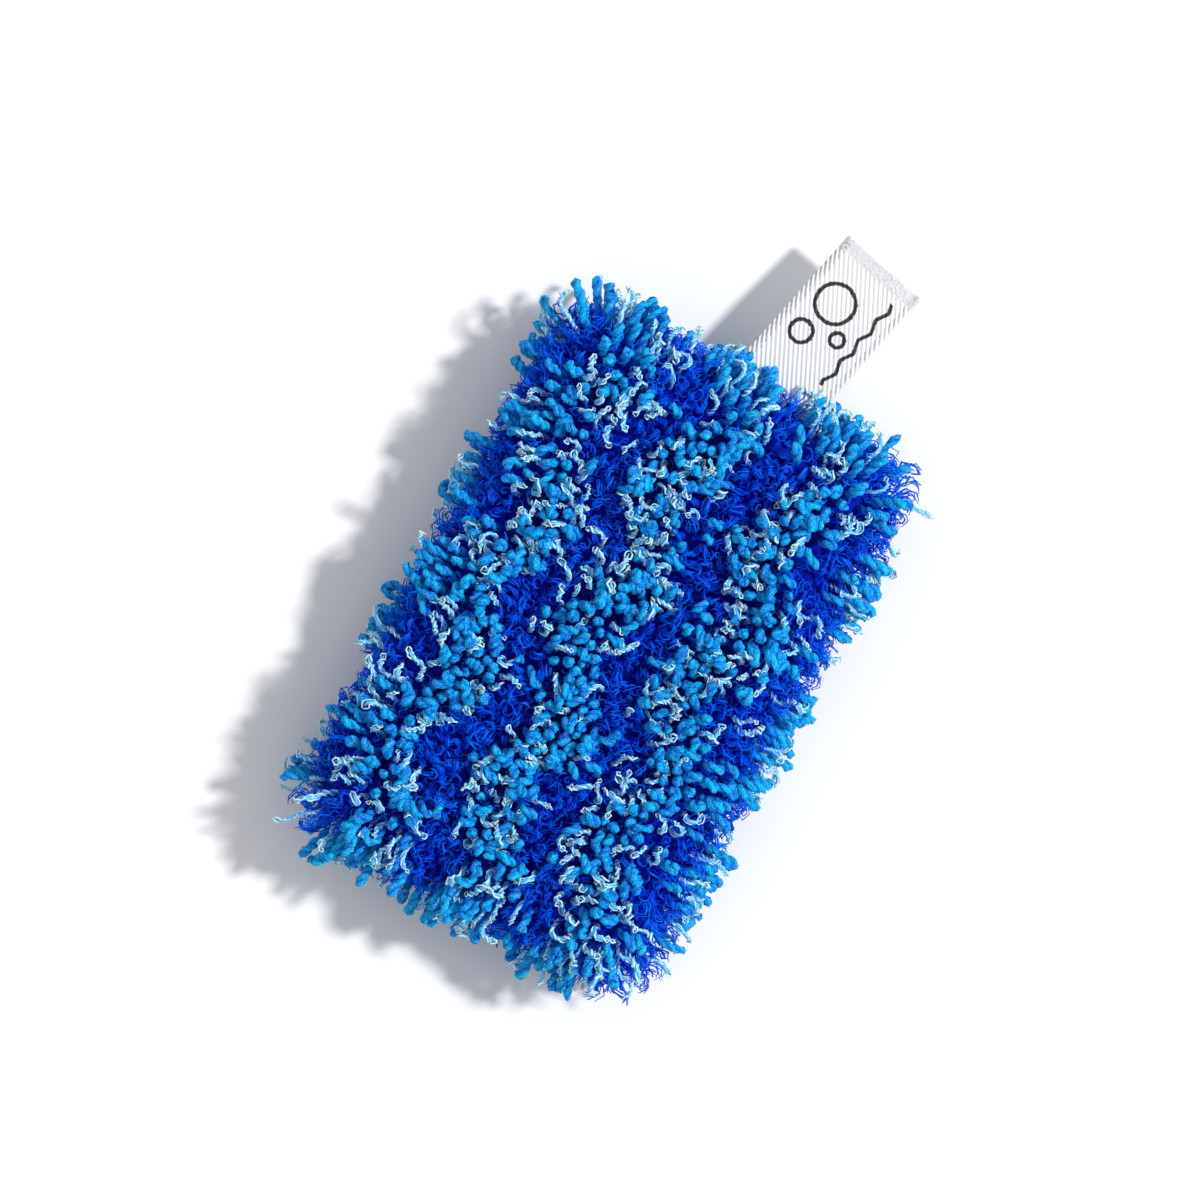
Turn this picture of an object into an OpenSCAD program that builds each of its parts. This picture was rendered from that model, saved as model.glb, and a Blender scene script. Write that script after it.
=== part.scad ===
// Cleaning sponge: a foam pad in a sewn pouch of loop-pile cloth, with a woven label.
// Lengths are in mm, angles in degrees. +Z is up and the sponge rests on z = 0.
// +X runs along the pad towards the label, +Y across it.

/* [Part to draw] */
// which piece to draw

/* [Pad] */
// length of the pouch over its cloth, loops left out
pad_length = 118; // [60:1:200]
// width of the pouch over its cloth, loops left out
pad_width = 74; // [40:1:140]
// thickness of the pouch over its cloth, loops left out
pad_thick = 20.4; // [12:0.2:40]
// thickness of the cloth that the loops grow from
cloth_t = 1.2; // [0.6:0.1:3]
// height at which the loops below hold the cloth over the bench
stand_h = 4; // [2:0.1:8]

/* [Seam] */
// width of the seam allowance that is turned in
allowance_w = 6; // [3:0.5:12]
// distance of the stitch line from the inner face of the cloth
stitch_inset = 3; // [1:0.5:8]
// number of stitches round the pouch, an even number
stitch_count = 72; // [24:2:120]
// thickness of the sewing thread
thread_d = 0.54; // [0.3:0.02:1]
// room round the thread in its needle holes
needle_room = 0.06; // [0.02:0.01:0.3]
// room between the foam and the stitches
foam_room = 0.12; // [0:0.02:1]

/* [Pile layout] */
// distance between neighbouring loops along the pad
pitch_x = 4.8; // [3.6:0.1:8]
// distance between rows of loops across the pad
pitch_y = 4.1; // [3.2:0.1:8]
// steepest place on the rounded edge that still carries a loop
edge_angle = 80.4; // [60:0.2:84]
// length of the slim foot of a loop, where it leaves the cloth
neck_len = 1.2; // [0.6:0.1:3]
// how far a loop leans from the upright
lean_top = 24; // [0:1:35]
// how much the lean differs from loop to loop
lean_change = 5; // [0:0.5:10]
// length over which the lean turns round once
lean_wave = 150; // [80:5:400]
// share by which the lengths of the loops differ
length_change = 0.12; // [0:0.01:0.3]
// number that picks another chance spread of the yarns
pile_seed = 7; // [0:1:20]

/* [Sky blue loops] */
// thickness of a sky blue loop
sky_d = 2.5; // [1.2:0.1:3]
// length of a sky blue loop from its foot
sky_len = 7.4; // [3:0.1:12]

/* [White loops] */
// thickness of a white loop
white_d = 1.8; // [1:0.1:3]
// length of a white loop from its foot
white_len = 7.9; // [3:0.1:12]
// length of a sky blue loop that lies pressed below
lying_len = 3.9; // [2:0.1:5]

/* [Royal blue tufts] */
// thickness of a royal blue tuft at the cloth
tuft_foot_d = 1.8; // [0.8:0.1:3]
// thickness of a royal blue tuft at its head
tuft_head_d = 2.5; // [1:0.1:4]
// height of a royal blue tuft
tuft_len = 5; // [2:0.1:9]

/* [Stripes] */
// distance from one dark stripe to the next
stripe_pitch = 24; // [10:1:60]
// width of a dark stripe
stripe_w = 10; // [4:0.5:30]
// place across the pad of the middle of one dark stripe
stripe_at = 13.6; // [-20:0.2:20]
// height of the zigzag to either side
zigzag_h = 5; // [0:0.5:12]
// length of one zigzag along the pad
zigzag_len = 34; // [12:1:80]
// place along the pad of one crest of the zigzag
zigzag_at = -1; // [-20:0.5:20]

/* [Label] */
// width of the ribbon
label_w = 20; // [8:0.5:40]
// length of the folded label outside the cloth
label_free = 37.6; // [10:0.2:60]
// how far the cut ends of the label stop short of the inner edge of the seam allowance
label_short = 0.8; // [0.2:0.1:3]
// thickness of one ply of the ribbon
ribbon_t = 0.4; // [0.2:0.05:1]
// gap between the two plies
ply_gap = 0.12; // [0.05:0.01:1]
// room above and below the label in the seam
slot_room = 0.05; // [0.02:0.01:0.3]
// place of the label along the short side
label_y = -5; // [-20:0.5:20]
// turn of the label from square to the seam
label_turn = -12.5; // [-30:0.5:30]
// how far the free end sinks
label_sink = 3; // [0:0.2:10]

/* [Hidden] */
$fn = 24;
edge_r = pad_thick / 2;
foam_r = edge_r - cloth_t;
spine_x = pad_length / 2 - edge_r;
spine_y = pad_width / 2 - edge_r;
seam_z = stand_h + edge_r;
thread_z = cloth_t + thread_d / 2;
leg_r = 0.82 * thread_d / 2;
hole_r = leg_r + needle_room;
groove_h = cloth_t + thread_d + foam_room;
label_t = 2 * ribbon_t + ply_gap;
slot_h = label_t / 2 + slot_room;
allowance_x = spine_x + foam_r - allowance_w;
label_cut_x = allowance_x + label_short;
label_held = (pad_length / 2 - label_cut_x + label_w / 2 * abs(sin(label_turn))) / cos(label_turn) + 1;
arc_len = edge_r * PI / 180;
reach = edge_angle * arc_len;
count_x = ceil((spine_x + reach) / pitch_x);
count_y = ceil((spine_y + reach) / pitch_y);
label_holes = ceil(stitch_count * label_w / path_len()) + 1;
eps = 0.01;

// an even spread of numbers between 0 and 1 that is the same each time
function noise(i, j, k) = let (a = i * 127.1 + j * 311.7 + (k + 13 * pile_seed) * 74.7,
  s = sin(a) * 43758.5453) s - floor(s);
// the same, between -1 and 1
function swing(i, j, k) = 2 * noise(i, j, k) - 1;

// place along the zigzag, from -1 in a trough to 1 on a crest
function zigzag(x) = let (t = (x - zigzag_at) / zigzag_len, f = t - floor(t)) abs(4 * f - 2) - 1;
// distance across the cloth from the middle of the nearest dark stripe
function stripe_off(x, y) = let (v = (y - zigzag_h * zigzag(x) - stripe_at) / stripe_pitch)
  abs(v - round(v)) * stripe_pitch;
// distance outside the edge of a dark stripe, negative inside it
function past_edge(x, y) = stripe_off(x, y) - stripe_w / 2;

// yarn of a loop: 0 royal blue, 1 sky blue, 2 white
function pick(n, sky, white) = n < sky ? 1 : n < sky + white ? 2 : 0;
function yarn(x, y, i, j, k) = let (n = noise(i, j, k), e = past_edge(x, y))
  e < 0 ? pick(n, 0.13, 0.1) : e < 2.6 ? pick(n, 0.3, 0.6) : pick(n, 0.66, 0.22);

// direction in which the pile is brushed at a place on the cloth
function brush(x, y) = 40 + 70 * sin(360 * x / lean_wave) + 60 * cos(360 * (y + 0.4 * x) / lean_wave);

// places for loops: x and y on the spread-out cloth, two counts, and the angles over the edges
function over(v, half) = abs(v) <= half ? 0 : (abs(v) - half) / arc_len;
function sites() = concat(
  [for (j = [-count_y : count_y], i = [-count_x : count_x])
    let (x = (i + (j % 2 == 0 ? 0 : 0.5)) * pitch_x, y = j * pitch_y,
      fx = over(x, spine_x), fy = over(y, spine_y))
    if ((fx == 0 || fy == 0) && fx + fy <= edge_angle) [x, y, i, j, fx, fy]]);
// on a corner the rings stand between the rows, and each holds one loop more than the last
ring_count = 4;
function ring_tip(k) = edge_angle * (k + 0.55) / ring_count + 1.5;
function sign_of(v) = v < 0 ? -1 : 1;

// puts a child on the cloth at a place on the long or short sides or on the flat
module on_face(s) {
  sx = sign_of(s[0]);
  sy = sign_of(s[1]);
  px = s[4] == 0 ? s[0] : sx * spine_x;
  py = s[5] == 0 ? s[1] : sy * spine_y;
  translate([px, py, 0])
    rotate([-sy * s[5], sx * s[4], 0])
      translate([0, 0, edge_r])
        children();
}

// puts a child on a rounded corner
module on_corner(sx, sy, turn, tip) {
  translate([sx * spine_x, sy * spine_y, 0])
    rotate([0, tip, turn])
      translate([0, 0, edge_r])
        children();
}

// true where the label leaves the pouch, so that the loops there stand clear of it
function by_label(x, y) = x > spine_x && abs(y - label_y + 2) < label_w / 2 + 4;

// how far a loop leans, given how far over the edge it stands
function lean_at(front, tip, n) = front ? lean_top * (1 - tip / 130) + lean_change * n
  : max(0, 73 + 0.1 * tip - tip);

// a loop of yarn: a slim foot on the cloth and a plump finger with a rounded end
module yarn_loop(r, len, lean, turn) {
  cylinder(r = 0.62 * r, h = neck_len + 0.2 * r);
  translate([0, 0, neck_len]) rotate([0, lean, turn]) {
    cylinder(r1 = 0.74 * r, r2 = r, h = 0.9 * r);
    translate([0, 0, 0.9 * r]) cylinder(r = r, h = len - 1.6 * r);
    translate([0, 0, len - 0.7 * r]) cylinder(r1 = r, r2 = 0.82 * r, h = 0.42 * r);
    translate([0, 0, len - 0.28 * r]) cylinder(r1 = 0.82 * r, r2 = 0.46 * r, h = 0.28 * r);
  }
}

// a loop below, which the bench presses over so that it lies along the cloth
module pressed_loop(d, turn) {
  r = 0.86 * d / 2;
  drop = stand_h - r - 0.06;
  len = lying_len * (d + sky_d) / (2 * sky_d);
  cylinder(r = 0.7 * r, h = drop);
  translate([0, 0, drop]) rotate([0, 90, turn]) {
    translate([0, 0, -0.5 * len]) cylinder(r1 = 0.6 * r, r2 = r, h = 0.3 * r);
    translate([0, 0, -0.5 * len + 0.3 * r]) cylinder(r = r, h = len - 0.6 * r);
    translate([0, 0, 0.5 * len - 0.3 * r]) cylinder(r1 = r, r2 = 0.6 * r, h = 0.3 * r);
  }
}

// a low clump of royal blue threads, wider at its head
module tuft_head(len) {
  cylinder(d1 = tuft_foot_d, d2 = tuft_head_d, h = len - 0.6);
  translate([0, 0, len - 0.6]) cylinder(d1 = tuft_head_d, d2 = 0.62 * tuft_head_d, h = 0.6);
}
module tuft(len, lean, turn) {
  if (lean > 6) {
    cylinder(d = 0.8 * tuft_foot_d, h = neck_len + 0.1);
    translate([0, 0, neck_len]) rotate([0, lean, turn]) tuft_head(len);
  } else tuft_head(len);
}
// one that the bench presses flat, rooted in the cloth so that the cloth rests on it
module pressed_tuft() {
  translate([0, 0, -cloth_t / 2])
    cylinder(d1 = tuft_foot_d, d2 = tuft_head_d, h = stand_h + cloth_t / 2);
}

// length of a loop that stands free
function loop_len(kind, n) = (kind == 1 ? sky_len : white_len) * (1 + length_change * n);

// one loop or tuft of the wanted yarn, or nothing; yarn 3 is a royal blue tuft pressed by the bench
module planted(front, kind, want, tip, turn, i, j, held) {
  lean = held ? 0 : lean_at(front, tip, swing(i, j, 3));
  below = !front && tip == 0;
  long = swing(i, j, 4);
  if (kind == 0 && below && want == 3) pressed_tuft();
  if (kind == 0 && !below && want == 0) tuft(tuft_len * (1 + length_change * long), front ? 0 : lean, turn);
  if (kind == want && want > 0 && below) pressed_loop(want == 1 ? sky_d : white_d, turn);
  if (kind == want && want > 0 && !below)
    yarn_loop((want == 1 ? sky_d : white_d) / 2, loop_len(want, long), lean, turn);
}

// all loops of one yarn on one half of the pouch, drawn with the seam at z = 0 and the half above it
module pile(front, want) {
  seed = front ? 0 : 50;
  for (s = sites()) {
    tip = s[4] + s[5];
    out = s[5] > 0 ? 90 * sign_of(s[1]) : sign_of(s[0]) > 0 ? 0 : 180;
    turn = !front ? (tip > 0 ? out : 30 * swing(s[2], s[3], seed + 1))
      : brush(s[0], s[1]) + 8 * swing(s[2], s[3], seed + 1);
    middle = !front && s[2] == 0 && s[3] == 0;
    kind = middle ? 0 : yarn(s[0], s[1], s[2], s[3], seed);
    on_face(s) planted(front, kind, want, tip, turn, s[2] + seed, s[3], by_label(s[0], s[1]) && tip > 60);
  }
  for (sx = [-1, 1], sy = [-1, 1], k = [0 : ring_count - 1]) {
    tip = ring_tip(k);
    for (m = [0 : k]) {
      first = sx > 0 ? (sy > 0 ? 0 : 270) : (sy > 0 ? 90 : 180);
      a = first + 90 * (m + 0.5) / (k + 1);
      x = sx * spine_x + tip * arc_len * cos(a);
      y = sy * spine_y + tip * arc_len * sin(a);
      kind = yarn(x, y, 31 + k * sx, 17 + m * sy, seed + 9);
      on_corner(sx, sy, a, tip) planted(front, kind, want, tip, 0, 31 + k * sx, 17 + m * sy, false);
    }
  }
}

// flat outline of the pouch at a distance outside its straight spine
module outline(r) {
  square([2 * spine_x, 2 * (spine_y + r)], center = true);
  square([2 * (spine_x + r), 2 * spine_y], center = true);
  for (sx = [-1, 1], sy = [-1, 1]) translate([sx * spine_x, sy * spine_y]) circle(r);
}

// a quarter of the rounded edge, between an inner and an outer radius
module quarter(inner, outer, side) {
  intersection() {
    difference() {
      circle(outer);
      if (inner > 0) circle(inner);
    }
    translate([side > 0 ? 0 : -outer, 0]) square(outer);
  }
}

// the rounded upper half of the pouch between two radii, solid where the inner one is 0
module half_form(inner, outer) {
  translate([-spine_x, -spine_y, inner]) cube([2 * spine_x, 2 * spine_y, outer - inner]);
  for (side = [-1, 1]) {
    translate([-spine_x, side * spine_y, 0]) rotate([90, 0, 90])
      linear_extrude(height = 2 * spine_x) quarter(inner, outer, side);
    translate([side * spine_x, spine_y, 0]) rotate([90, 0, 0])
      linear_extrude(height = 2 * spine_y) quarter(inner, outer, side);
  }
  for (q = [0 : 3]) {
    sx = q == 0 || q == 3 ? 1 : -1;
    sy = q < 2 ? 1 : -1;
    translate([sx * spine_x, sy * spine_y, 0]) rotate([0, 0, 90 * q])
      rotate_extrude(angle = 90) quarter(inner, outer, 1);
  }
}

// the path of the stitches, a rounded rectangle, by distance along it from the middle of the +X side
function stitch_r() = foam_r - stitch_inset;
function path_len() = 4 * (spine_x + spine_y) + 2 * PI * stitch_r();
function leg_point(d, r, hx, hy) = d < hy ? [hx + r, d]
  : d < hy + r * PI / 2 ? let (a = (d - hy) / r * 180 / PI) [hx + r * cos(a), hy + r * sin(a)]
  : d < hy + r * PI / 2 + 2 * hx ? [hx - (d - hy - r * PI / 2), hy + r]
  : d < hy + r * PI + 2 * hx
    ? let (a = 90 + (d - hy - r * PI / 2 - 2 * hx) / r * 180 / PI) [-hx + r * cos(a), hy + r * sin(a)]
  : [-hx - r, hy - (d - hy - r * PI - 2 * hx)];
function stitch_point(k) = let (half = path_len() / 2, d = path_len() * (k + 0.5) / stitch_count,
    back = d >= half, p = leg_point(back ? d - half : d, stitch_r(), spine_x, spine_y))
  back ? [-p[0], -p[1]] : p;

// needle holes through everything the seam holds
module needle_holes(first, last) {
  for (k = [first : last])
    translate([stitch_point(k)[0], stitch_point(k)[1], -cloth_t - eps])
      cylinder(r = hole_r, h = 2 * cloth_t + 2 * eps);
}

// keeps what lies past the cut ends of the label, which are trimmed in line with the seam
module past_cut(room) {
  intersection() {
    children();
    translate([label_cut_x - room, -pad_width, -pad_thick])
      cube([pad_length + label_free, 2 * pad_width, 2 * pad_thick]);
  }
}

// room for the label between the two halves of the pouch
module label_slot() {
  past_cut(slot_room) translate([pad_length / 2, label_y, 0]) rotate([0, 0, label_turn])
    translate([-label_held, -label_w / 2 - slot_room, -slot_h])
      cube([2 * label_held, label_w + 2 * slot_room, 2 * slot_h]);
}

// one half of the pouch with its turned-in allowance, before its pile
module cloth_half() {
  difference() {
    union() {
      half_form(foam_r, edge_r);
      linear_extrude(height = cloth_t) difference() {
        outline(foam_r + cloth_t / 4);
        outline(foam_r - allowance_w);
      }
    }
    label_slot();
    needle_holes(0, stitch_count - 1);
  }
}

module front_cloth() {
  color([0.02, 0.13, 0.58]) translate([0, 0, seam_z]) cloth_half();
}

module back_cloth() {
  color([0.02, 0.13, 0.58]) translate([0, 0, seam_z]) mirror([0, 0, 1]) {
    cloth_half();
    pile(false, 3);
  }
}

module front_royal_tufts() {
  color([0.03, 0.18, 0.7]) translate([0, 0, seam_z]) pile(true, 0);
}

module back_royal_tufts() {
  color([0.03, 0.18, 0.7]) translate([0, 0, seam_z]) mirror([0, 0, 1]) pile(false, 0);
}

module front_sky_loops() {
  color([0.05, 0.52, 0.86]) translate([0, 0, seam_z]) pile(true, 1);
}

module front_white_loops() {
  color([0.82, 0.93, 0.97]) translate([0, 0, seam_z]) pile(true, 2);
}

module back_sky_loops() {
  color([0.05, 0.52, 0.86]) translate([0, 0, seam_z]) mirror([0, 0, 1]) pile(false, 1);
}

module back_white_loops() {
  color([0.82, 0.93, 0.97]) translate([0, 0, seam_z]) mirror([0, 0, 1]) pile(false, 2);
}

// the foam fills the pouch and leaves a groove for the allowances and stitches
module foam_core() {
  color([0.93, 0.9, 0.74]) translate([0, 0, seam_z]) difference() {
    union() {
      half_form(0, foam_r);
      mirror([0, 0, 1]) half_form(0, foam_r);
    }
    translate([0, 0, -groove_h]) linear_extrude(height = 2 * groove_h) difference() {
      outline(foam_r + 2);
      outline(foam_r - allowance_w);
    }
  }
}

// one stitch: a leg down through a needle hole and a length of thread on one side of the seam
module stitch(k) {
  a = stitch_point(k);
  b = stitch_point(k + 1 == stitch_count ? 0 : k + 1);
  run = norm(b - a);
  translate([a[0], a[1], -thread_z - 0.1]) cylinder(r = leg_r, h = 2 * thread_z + 0.2);
  translate([a[0], a[1], k % 2 == 0 ? thread_z : -thread_z])
    rotate([0, 0, atan2(b[1] - a[1], b[0] - a[0])])
      rotate([0, 90, 0])
        translate([0, 0, -thread_d / 2])
          cylinder(d = thread_d, h = run + thread_d);
}

module seam_thread() {
  color([0.03, 0.1, 0.45]) translate([0, 0, seam_z]) for (k = [0 : stitch_count - 1]) stitch(k);
}

// middle line of the label: straight in the seam, then an arc that sinks to the free end
sink_r = (label_free * label_free + label_sink * label_sink) / (2 * label_sink);
sink_a = asin(label_free / sink_r);
fold_r = label_t / 2;
function mid(s) = s <= 0 ? [s, 0] : let (a = sink_a * s) [sink_r * sin(a), sink_r * (cos(a) - 1)];
function up(s) = s <= 0 ? [0, 1] : let (a = sink_a * s) [sin(a), cos(a)];
function ply(s, off) = mid(s) + off * up(s);
function fold(r, a) = let (t = sink_a, c = mid(1)) c + r * [cos(a - t), sin(a - t)];
function ribbon_outline(n) = concat(
  [[-label_held, fold_r]],
  [for (k = [0 : n]) ply(k / n, fold_r)],
  [for (a = [75 : -15 : -75]) fold(fold_r, a)],
  [for (k = [n : -1 : 0]) ply(k / n, -fold_r)],
  [[-label_held, -fold_r]],
  [[-label_held, -ply_gap / 2]],
  [for (k = [0 : n]) ply(k / n, -ply_gap / 2)],
  [for (a = [-60 : 30 : 60]) fold(ply_gap / 2, a)],
  [for (k = [n : -1 : 0]) ply(k / n, ply_gap / 2)],
  [[-label_held, ply_gap / 2]]);

module woven_label() {
  color([0.93, 0.93, 0.91]) translate([0, 0, seam_z]) difference() {
    past_cut(0) translate([pad_length / 2, label_y, 0]) rotate([0, 0, label_turn])
      translate([0, label_w / 2, 0]) rotate([90, 0, 0])
        linear_extrude(height = label_w) polygon(ribbon_outline(16));
    needle_holes(0, label_holes - 1);
    needle_holes(stitch_count - label_holes, stitch_count - 1);
  }
}

foam_core();
front_cloth();
back_cloth();
front_royal_tufts();
back_royal_tufts();
front_sky_loops();
front_white_loops();
back_sky_loops();
back_white_loops();
woven_label();
seam_thread();
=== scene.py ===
# %% [markdown]
# # A shaggy cleaning sponge
# The object is a foam pad in a sewn pouch of loop-pile cloth. Three yarns grow from the cloth: fat
# fuzzy sky-blue loops, slim shiny white cords and low frizzy royal-blue tufts, in zigzag stripes. A
# folded ribbon label hangs from one short seam. The imported CAD model gives the pouch and seam stitches.

import bpy
import math
import numpy as np
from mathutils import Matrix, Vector


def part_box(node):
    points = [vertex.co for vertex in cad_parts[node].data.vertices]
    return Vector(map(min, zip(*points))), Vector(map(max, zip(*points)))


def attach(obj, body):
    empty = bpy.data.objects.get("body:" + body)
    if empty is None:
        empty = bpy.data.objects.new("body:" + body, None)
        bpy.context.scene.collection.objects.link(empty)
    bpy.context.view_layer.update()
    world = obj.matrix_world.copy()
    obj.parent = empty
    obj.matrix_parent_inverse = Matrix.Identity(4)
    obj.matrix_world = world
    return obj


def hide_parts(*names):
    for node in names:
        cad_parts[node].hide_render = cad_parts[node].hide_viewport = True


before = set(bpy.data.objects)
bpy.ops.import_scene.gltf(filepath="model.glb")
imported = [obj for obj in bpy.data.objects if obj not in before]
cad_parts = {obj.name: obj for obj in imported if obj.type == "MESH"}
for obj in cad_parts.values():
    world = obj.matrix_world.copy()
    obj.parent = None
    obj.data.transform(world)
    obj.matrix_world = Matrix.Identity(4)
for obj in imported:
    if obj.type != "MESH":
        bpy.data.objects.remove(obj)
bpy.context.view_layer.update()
MM = 0.001
TAU = 2 * math.pi

# %% [markdown]
# ## The pouch under the pile
# The pouch is a pillow: flat above and below, round at its edges, and sewn along the middle of the
# edge. It is described by one rounded box, so its skin is the set of points at one distance from a
# flat rectangle, the spine. That makes three things easy: planting roots, laying out the stripes, and
# keeping the yarns outside the cloth. The sizes are read from the CAD nodes.

# %% sizes of the pouch, in mm
lo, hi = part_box("front_cloth")
edge_x, edge_y = hi.x / MM, hi.y / MM
seam_z = lo.z / MM
pouch_r = hi.z / MM - seam_z
spine = np.array([edge_x - pouch_r, edge_y - pouch_r])
print(f"pouch {2 * edge_x:.1f} x {2 * edge_y:.1f} mm, edge radius {pouch_r:.1f}, seam at {seam_z:.1f}")


def to_pouch(p):
    """Distance outside the spine and the direction away from it, for points in mm."""
    q = p.copy()
    q[:, 0] -= np.clip(p[:, 0], -spine[0], spine[0])
    q[:, 1] -= np.clip(p[:, 1], -spine[1], spine[1])
    q[:, 2] -= seam_z
    d = np.linalg.norm(q, axis=1)
    return d, q / np.maximum(d, 1e-6)[:, None]


# %% [markdown]
# Foam pushes the middle of the pouch up into a slight crown. The pile is laid out on the plain rounded
# box, and every soft piece goes through this small lift at the end, so that they all swell alike.

# %% the crown of the pad
crown = 0.06


def crowned(co):
    """Lifts what is above the seam, most over the middle of the pad."""
    lift = crown * np.clip(1 - (co[:, 0] / edge_x) ** 2, 0, 1) * np.clip(1 - (co[:, 1] / edge_y) ** 2, 0, 1)
    co = co.copy()
    co[:, 2] += lift * np.clip(co[:, 2] - seam_z, 0, None)
    return co


# %% [markdown]
# ## The line of the label
# The ribbon leaves the short seam at a slight angle and sinks in an arc to its free end. Its middle
# line is needed early, because the loops beside it have to lie over or under it and not through it.

# %% middle line of the label, in mm
label_w, label_free, label_in, label_sink = 20.0, 37.6, 6.4, 3.0
label_y, label_turn = -5.0, math.radians(-12.5)
label_ahead = np.array([math.cos(label_turn), math.sin(label_turn)])
label_across = np.array([-math.sin(label_turn), math.cos(label_turn)])
sink_r = (label_free**2 + label_sink**2) / (2 * label_sink)


def label_place(p):
    """Distance along and across the label and height over its middle line, for points in mm."""
    xy = p[:, :2] - np.array([edge_x, label_y])
    run, off = xy @ label_ahead, xy @ label_across
    drop = sink_r - np.sqrt(sink_r**2 - np.clip(run, 0, label_free) ** 2)
    return run, off, p[:, 2] - seam_z + drop


# %% [markdown]
# ## Where the roots go
# A knitting machine sets its loops evenly, but the cloth is stretched over the foam, so on the
# finished sponge they look evenly scattered and not in rows. Throwing darts at the skin and keeping
# each one that is far enough from the others gives just that.

# %% scatter the roots over the skin
rng = np.random.default_rng(11)


def random_skin(count):
    """Points spread evenly by area over the rounded skin, with their outward directions."""
    flat = 4 * spine[0] * spine[1]
    long_side = 2 * spine[0] * math.pi * pouch_r
    short_side = 2 * spine[1] * math.pi * pouch_r
    ball = 4 * math.pi * pouch_r**2
    areas = np.array([flat, flat, long_side, long_side, short_side, short_side, ball])
    kind = rng.choice(7, count, p=areas / areas.sum())
    u, v = rng.uniform(-1, 1, (2, count))
    turn = rng.uniform(0, math.pi, count)
    base = np.zeros((count, 3))
    out = np.zeros((count, 3))
    base[:, 0], base[:, 1] = u * spine[0], v * spine[1]
    out[:, 2] = np.where(kind == 0, 1.0, -1.0)
    for k, axis, sign in ((2, 1, 1), (3, 1, -1), (4, 0, 1), (5, 0, -1)):
        m = kind == k
        base[m, axis] = sign * spine[axis]
        out[m] = 0
        out[m, axis] = sign * np.sin(turn[m])
        out[m, 2] = np.cos(turn[m])
    m = kind == 6
    a = rng.normal(size=(count, 3))
    a /= np.linalg.norm(a, axis=1)[:, None]
    out[m] = a[m]
    base[m, 0] = np.sign(a[m, 0]) * spine[0]
    base[m, 1] = np.sign(a[m, 1]) * spine[1]
    base[:, 2] = seam_z
    return base + pouch_r * out, out


def spaced(points, gap):
    """Keeps the darts that are no nearer than the gap to one kept before."""
    cell = np.floor(points / gap).astype(int)
    seen, kept = {}, []
    near = [(i, j, k) for i in (-1, 0, 1) for j in (-1, 0, 1) for k in (-1, 0, 1)]
    for n, (c, p) in enumerate(zip(map(tuple, cell), points)):
        close = (seen.get((c[0] + i, c[1] + j, c[2] + k)) for i, j, k in near)
        if any(q is not None and np.dot(p - q, p - q) < gap * gap for q in close):
            continue
        seen[c] = p
        kept.append(n)
    return np.array(kept)


darts, root_gap = 60000, 1.87
slot_room, slot_h = 0.6, 1.2
roots, outward = random_skin(darts)
run, off, rise = label_place(roots)
in_slot = (run > -pouch_r) & (np.abs(off) < label_w / 2 + slot_room) & (np.abs(rise) < slot_h)
in_slot &= roots[:, 0] > spine[0]
roots, outward = roots[~in_slot], outward[~in_slot]
keep = spaced(roots, root_gap)
roots, outward = roots[keep], outward[keep]
print(f"{len(roots)} roots on the pouch")

# %% [markdown]
# ## Zigzag stripes
# The stripes belong to the cloth, so they are laid out on the cloth spread flat: past the edge of the
# pad the distance is measured round the curve. Dark stripes are nearly all royal blue, light ones sky
# blue with some white, and about half of the white yarn stands along the borders between them.

# %% choose a yarn for each root
stripe_pitch, stripe_w, stripe_at = 24.0, 9.0, 13.6
zigzag_h, zigzag_len, zigzag_at = 5.0, 34.0, -1.0
border_w, border_blur = 2.8, 0.6
ROYAL, SKY, WHITE = 0, 1, 2


def spread_flat(p, out):
    """Places on the cloth spread flat, in mm, from points on the skin."""
    side = np.hypot(out[:, 0], out[:, 1])
    arc = pouch_r * np.arctan2(side, np.abs(out[:, 2]))
    s = np.clip(p[:, :2], -spine, spine)
    return s + out[:, :2] / np.maximum(side, 1e-6)[:, None] * arc[:, None]


def past_stripe(xy):
    """Distance outside the nearest dark stripe, negative inside it."""
    t = (xy[:, 0] - zigzag_at) / zigzag_len
    zigzag = np.abs(4 * (t - np.floor(t)) - 2) - 1
    v = (xy[:, 1] - zigzag_h * zigzag - stripe_at) / stripe_pitch
    return np.abs(v - np.round(v)) * stripe_pitch - stripe_w / 2


past = past_stripe(spread_flat(roots, outward)) + rng.normal(0, border_blur, len(roots))
chance = rng.uniform(0, 1, len(roots))
share_sky = np.where(past < 0, 0.07, np.where(past < border_w, 0.43, 0.7))
share_white = np.where(past < 0, 0.06, np.where(past < border_w, 0.57, 0.3))
yarn = np.where(chance < share_sky, SKY, np.where(chance < share_sky + share_white, WHITE, ROYAL))
names = ("royal", "sky", "white")
print({names[k]: int((yarn == k).sum()) for k in (ROYAL, SKY, WHITE)})

# %% [markdown]
# ## Letting the pile settle
# Every loop starts out leaning its own way. Then the pile is let go: each loop is a chain of beads
# with a fixed root, and the beads push one another apart, stay outside the cloth and clear of the
# label, sink a little under their weight, and can't go through the bench. Loops beneath the pad end up
# pressed flat, those on the sides fan out, and those on top stand close and tumble over one another.
#
# First come the sizes of the loops, given for the royal, the sky-blue and the white yarn in turn. They
# are longer at the corners of the pad, where they stick out furthest on a used sponge.

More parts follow.
